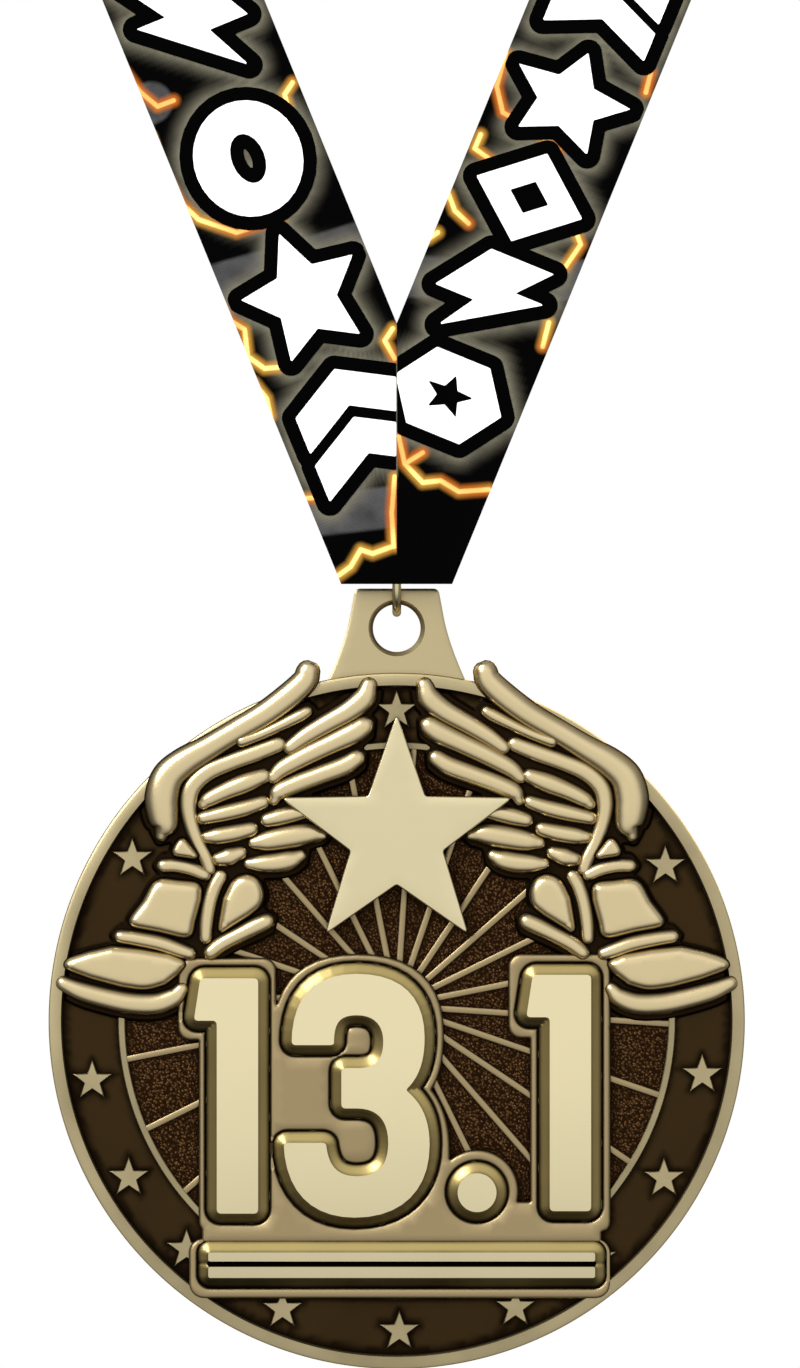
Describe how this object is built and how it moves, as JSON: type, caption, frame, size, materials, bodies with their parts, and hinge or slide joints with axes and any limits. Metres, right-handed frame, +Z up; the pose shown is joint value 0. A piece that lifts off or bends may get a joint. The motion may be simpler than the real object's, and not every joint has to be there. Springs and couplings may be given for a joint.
{
  "type": "finisher medal on a neck ribbon",
  "caption": "Round die-cast relief medal with winged shoes, a large star and raised distance numerals, hung by a split ring from a printed ribbon loop worn round the neck.",
  "frame": {"origin": "at the nape, in the middle of the ribbon's inner face, where a neck carries the loop", "axes": "+Z up, +Y towards the wearer's back, so the medal hangs below and ahead of the origin with its front facing -Y"},
  "size_m": [0.17, 0.164, 0.3172],
  "materials": {
    "antique_gold": "antique gold plating, dark in the recesses, polished on the high faces",
    "ring_gold": "bright gold-plated wire",
    "ribbon_satin": "black satin with a printed pattern",
    "tape_weave": "black plain weave",
    "thread": "black polyester thread"
  },
  "bodies": {
    "ribbon": {"neck_ribbon": "ribbon_satin", "ring_tape": "tape_weave", "bartack_lower": "thread", "bartack_upper": "thread"},
    "ring": {"jump_ring": "ring_gold"},
    "medal": {"medal_casting": "antique_gold"}
  },
  "joints": [
    {"name": "ring_turn", "type": "hinge", "parent": "ribbon", "child": "ring", "pos_m": [0, -0.15524, -0.23132], "axis": [0, 0, 1], "range_deg": [-30, 30]},
    {"name": "medal_swing", "type": "hinge", "parent": "ring", "child": "medal", "pos_m": [0, -0.15524, -0.23132], "axis": [1, 0, 0], "range_deg": [-50, 75]}
  ]
}
